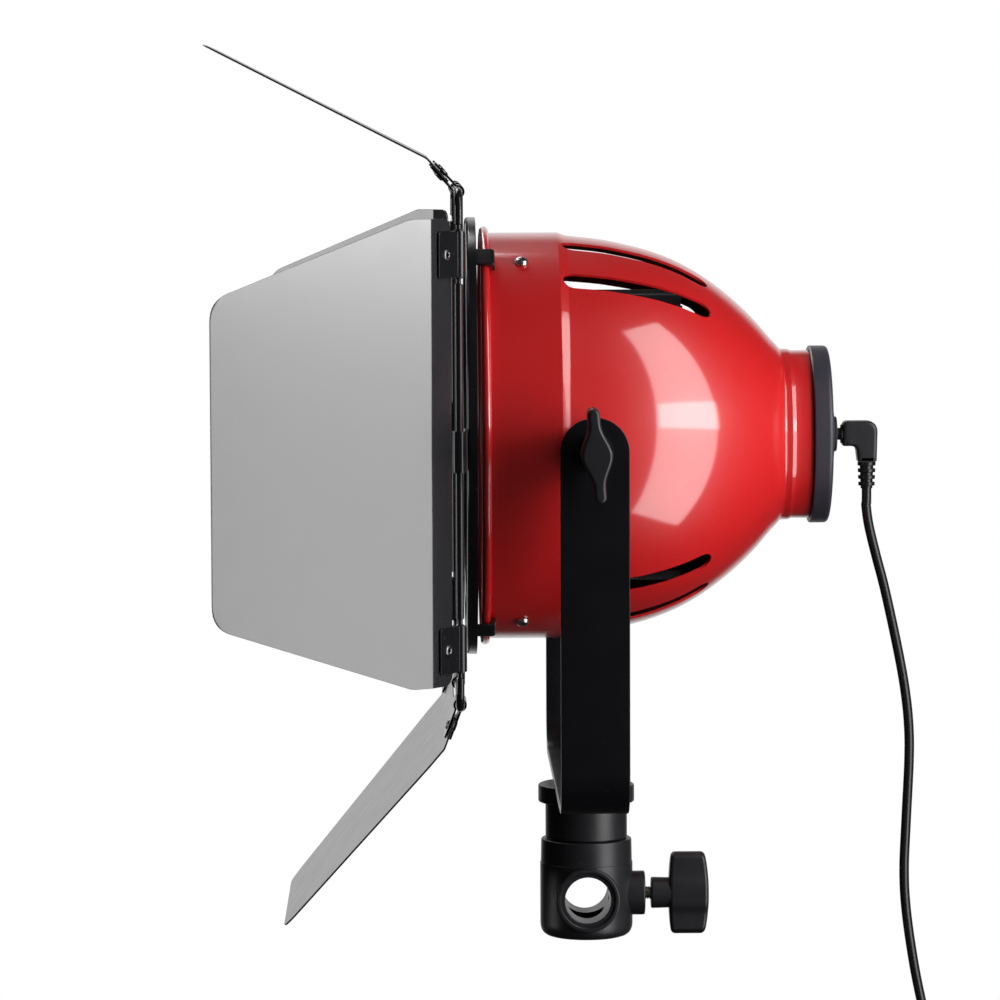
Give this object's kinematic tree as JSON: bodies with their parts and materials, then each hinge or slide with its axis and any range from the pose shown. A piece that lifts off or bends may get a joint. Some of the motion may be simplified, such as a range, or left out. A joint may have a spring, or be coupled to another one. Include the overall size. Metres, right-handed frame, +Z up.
{
  "type": "led studio light",
  "caption": "Focusing LED studio lamp head: red spun housing on a tilting yoke with a swivel stand receiver, a turning barn-door ring with hinged leaves, and a low-voltage lead.",
  "frame": {"origin": "centre of the stud socket's mouth, on the underside of the receiver and on the swivel axis", "axes": "+Z up along the swivel axis; the beam leaves along -X at rest; the tilt axis is parallel to Y"},
  "size_m": [0.3732, 0.3922, 0.5554],
  "materials": {
    "red_enamel": "gloss",
    "black_plastic": "satin",
    "gloss_black": "gloss",
    "leaf_sheet": "satin",
    "black_steel": "satin",
    "zinc_steel": "bright",
    "aluminium": "anodised",
    "reflector": "polished",
    "circuit_board": "satin",
    "led_board": "satin",
    "cord_rubber": "satin",
    "fibre": "matt"
  },
  "bodies": {
    "receiver": {"receiver_body": "black_plastic"},
    "clamp_screw": {"clamp_screw": "zinc_steel"},
    "clamp_knob": {"clamp_knob": "black_plastic"},
    "yoke": {"swivel_base": "black_plastic", "swivel_bolt": "zinc_steel", "swivel_washer": "zinc_steel", "swivel_nut": "zinc_steel", "yoke_bracket": "black_steel", "pivot_washer_near": "zinc_steel", "pivot_washer_far": "zinc_steel", "power_lead": "cord_rubber", "lead_coil": "cord_rubber", "coil_tie": "black_plastic", "lead_connector": "black_plastic"},
    "head": {"housing_shell": "red_enamel", "rear_cap": "black_plastic", "dc_socket": "black_plastic", "socket_nut": "zinc_steel", "heat_sink": "aluminium", "led_carrier": "black_steel", "led_module": "led_board", "reflector": "reflector", "driver_board": "circuit_board", "band_screw_1": "zinc_steel", "band_screw_2": "zinc_steel", "band_screw_3": "zinc_steel", "pivot_bolt_near": "zinc_steel", "pivot_bolt_far": "zinc_steel", "pivot_spacer_near": "black_steel", "pivot_spacer_far": "black_steel", "friction_disc_near": "fibre", "friction_disc_far": "fibre", "plug_barrel": "zinc_steel", "plug_elbow": "black_plastic", "strain_relief": "black_plastic"},
    "tilt_knob_near": {"tilt_knob_near": "black_plastic"},
    "tilt_knob_far": {"tilt_knob_far": "black_plastic"},
    "door_ring": {"ring_plate": "gloss_black", "ring_hook_1": "gloss_black", "ring_hook_2": "gloss_black", "ring_hook_3": "gloss_black", "door_rods": "gloss_black", "rod_tab_top": "gloss_black", "rod_tab_near": "gloss_black", "rod_tab_bottom": "gloss_black", "rod_tab_far": "gloss_black"},
    "leaf_top": {"leaf_top": "leaf_sheet", "hinge_strap_top_a": "gloss_black", "hinge_strap_top_b": "gloss_black"},
    "leaf_near": {"leaf_near": "leaf_sheet", "hinge_strap_near_a": "gloss_black", "hinge_strap_near_b": "gloss_black"},
    "leaf_bottom": {"leaf_bottom": "leaf_sheet", "hinge_strap_bottom_a": "gloss_black", "hinge_strap_bottom_b": "gloss_black"},
    "leaf_far": {"leaf_far": "leaf_sheet", "hinge_strap_far_a": "gloss_black", "hinge_strap_far_b": "gloss_black"}
  },
  "joints": [
    {"name": "clamp_screw_travel", "type": "slide", "parent": "receiver", "child": "clamp_screw", "axis": [1, 0, 0], "range_m": [-0.002, 0.006]},
    {"name": "clamp_knob_turn", "type": "hinge", "parent": "clamp_screw", "child": "clamp_knob", "pos_m": [0.0296, 0, 0.0193], "axis": [1, 0, 0], "range_deg": [-721, 2161]},
    {"name": "pan", "type": "hinge", "parent": "receiver", "child": "yoke", "pos_m": [0, 0, 0.0452], "axis": [0, 0, 1], "continuous": true},
    {"name": "tilt", "type": "hinge", "parent": "yoke", "child": "head", "pos_m": [0, 0, 0.23], "axis": [0, -1, 0], "range_deg": [-60, 16], "deforming": ["power_lead"]},
    {"name": "tilt_knob_near_turn", "type": "hinge", "parent": "head", "child": "tilt_knob_near", "pos_m": [0, -0.12, 0.23], "axis": [0, -1, 0], "range_deg": [-20, 360]},
    {"name": "tilt_knob_far_turn", "type": "hinge", "parent": "head", "child": "tilt_knob_far", "pos_m": [0, 0.12, 0.23], "axis": [0, 1, 0], "range_deg": [-20, 360]},
    {"name": "door_ring_spin", "type": "hinge", "parent": "head", "child": "door_ring", "pos_m": [-0.05, 0, 0.23], "axis": [-1, 0, 0], "continuous": true},
    {"name": "leaf_top_swing", "type": "hinge", "parent": "door_ring", "child": "leaf_top", "pos_m": [-0.0585, 0, 0.3422], "axis": [0, -1, 0], "range_deg": [-73, 117]},
    {"name": "leaf_bottom_swing", "type": "hinge", "parent": "door_ring", "child": "leaf_bottom", "pos_m": [-0.0585, 0, 0.1178], "axis": [0, 1, 0], "range_deg": [-50.5, 134.5]},
    {"name": "leaf_near_swing", "type": "hinge", "parent": "door_ring", "child": "leaf_near", "pos_m": [-0.0585, -0.1122, 0.23], "axis": [0, 0, 1], "range_deg": [-123, 67]},
    {"name": "leaf_far_swing", "type": "hinge", "parent": "door_ring", "child": "leaf_far", "pos_m": [-0.0585, 0.1122, 0.23], "axis": [0, 0, -1], "range_deg": [-127, 58]}
  ],
  "couplings": [
    {"joint": "clamp_knob_turn", "follows": "clamp_screw_travel", "rad_per_m": 6283.2}
  ]
}
